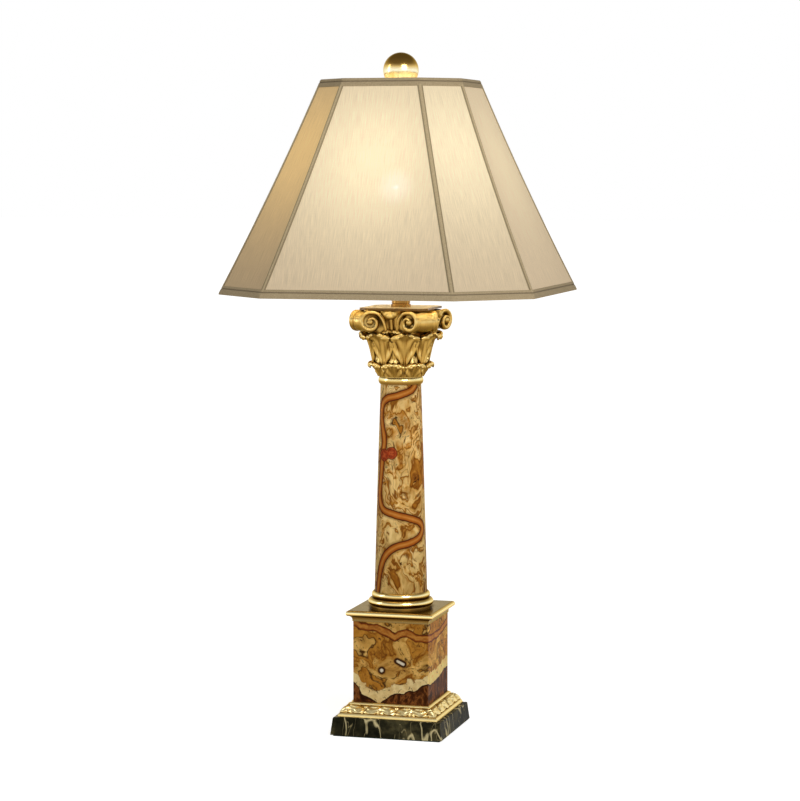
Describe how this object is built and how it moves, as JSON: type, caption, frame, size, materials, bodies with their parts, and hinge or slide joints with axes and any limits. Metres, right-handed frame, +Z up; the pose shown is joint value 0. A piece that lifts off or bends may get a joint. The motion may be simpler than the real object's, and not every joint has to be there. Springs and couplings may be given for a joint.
{
  "type": "column table lamp",
  "caption": "Classical column table lamp with a square pedestal, a gilt leaf capital, a harp and an eight-sided cut-corner fabric shade under a ball finial.",
  "frame": {"origin": "middle of the resting face, on the table, under the column's axis", "axes": "+Z up along the column, the front face of the pedestal looks along -Y, +X to its right"},
  "size_m": [0.4226, 0.4226, 0.9006],
  "materials": {
    "felt": "matte",
    "dark_marble": "polished",
    "antique_gilt": "satin",
    "polished_gilt": "gloss",
    "veined_onyx": "polished",
    "lacquered_brass": "satin",
    "plated_steel": "satin",
    "black_plastic": "gloss",
    "brown_phenolic": "matte",
    "insulating_card": "matte",
    "frosted_glass": "satin",
    "silk_shantung": "satin",
    "silk_lining": "satin",
    "silk_trim": "satin",
    "shade_wire": "gloss"
  },
  "bodies": {
    "lamp_base": {"base_felt": "felt", "marble_base": "dark_marble", "cord_grommet": "black_plastic", "base_moulding": "antique_gilt", "pedestal_block": "veined_onyx", "pedestal_cap": "polished_gilt", "column_base_ring": "polished_gilt", "column_shaft": "veined_onyx", "astragal_ring": "polished_gilt", "capital": "antique_gilt", "abacus_plate": "antique_gilt", "threaded_pipe": "plated_steel", "bottom_washer": "plated_steel", "bottom_nut": "plated_steel", "neck_collar": "lacquered_brass", "harp_saddle": "lacquered_brass", "socket_cap": "lacquered_brass", "socket_shell": "lacquered_brass", "socket_liner": "insulating_card", "socket_body": "brown_phenolic", "screw_shell": "lacquered_brass", "centre_contact": "lacquered_brass"},
    "switch": {"switch_shaft": "plated_steel", "switch_knob": "black_plastic"},
    "bulb": {"bulb_glass": "frosted_glass", "bulb_cap": "plated_steel", "bulb_contact": "plated_steel"},
    "harp": {"harp_wire": "lacquered_brass", "harp_stud": "lacquered_brass"},
    "left_sleeve": {"harp_sleeve_left": "lacquered_brass"},
    "right_sleeve": {"harp_sleeve_right": "lacquered_brass"},
    "shade": {"shade_wide_panels": "silk_shantung", "shade_corner_panels": "silk_shantung", "shade_lining": "silk_lining", "shade_ribs": "shade_wire", "shade_bottom_ring": "shade_wire", "shade_top_ring": "shade_wire", "bottom_binding": "silk_trim", "top_binding": "silk_trim", "rib_trims": "silk_trim", "shade_spider": "shade_wire"},
    "finial": {"finial_neck": "polished_gilt", "finial_ball": "polished_gilt"}
  },
  "joints": [
    {"name": "switch_turn", "type": "hinge", "parent": "lamp_base", "child": "switch", "pos_m": [0, -0.02, 0.6301], "axis": [0, -1, 0], "continuous": true},
    {"name": "bulb_unscrew", "type": "hinge", "parent": "lamp_base", "child": "bulb", "pos_m": [0, 0, 0.66], "axis": [0, 0, 1], "continuous": true},
    {"name": "harp_lift", "type": "slide", "parent": "lamp_base", "child": "harp", "axis": [0, 0, 1], "range_m": [0, 0.02]},
    {"name": "left_sleeve_slide", "type": "slide", "parent": "harp", "child": "left_sleeve", "axis": [0, 0, 1], "range_m": [0, 0.014]},
    {"name": "right_sleeve_slide", "type": "slide", "parent": "harp", "child": "right_sleeve", "axis": [0, 0, 1], "range_m": [0, 0.014]},
    {"name": "shade_turn", "type": "hinge", "parent": "harp", "child": "shade", "pos_m": [0, 0, 0.8466], "axis": [0, 0, 1], "continuous": true},
    {"name": "finial_unscrew", "type": "hinge", "parent": "harp", "child": "finial", "pos_m": [0, 0, 0.877], "axis": [0, 0, 1], "continuous": true}
  ]
}
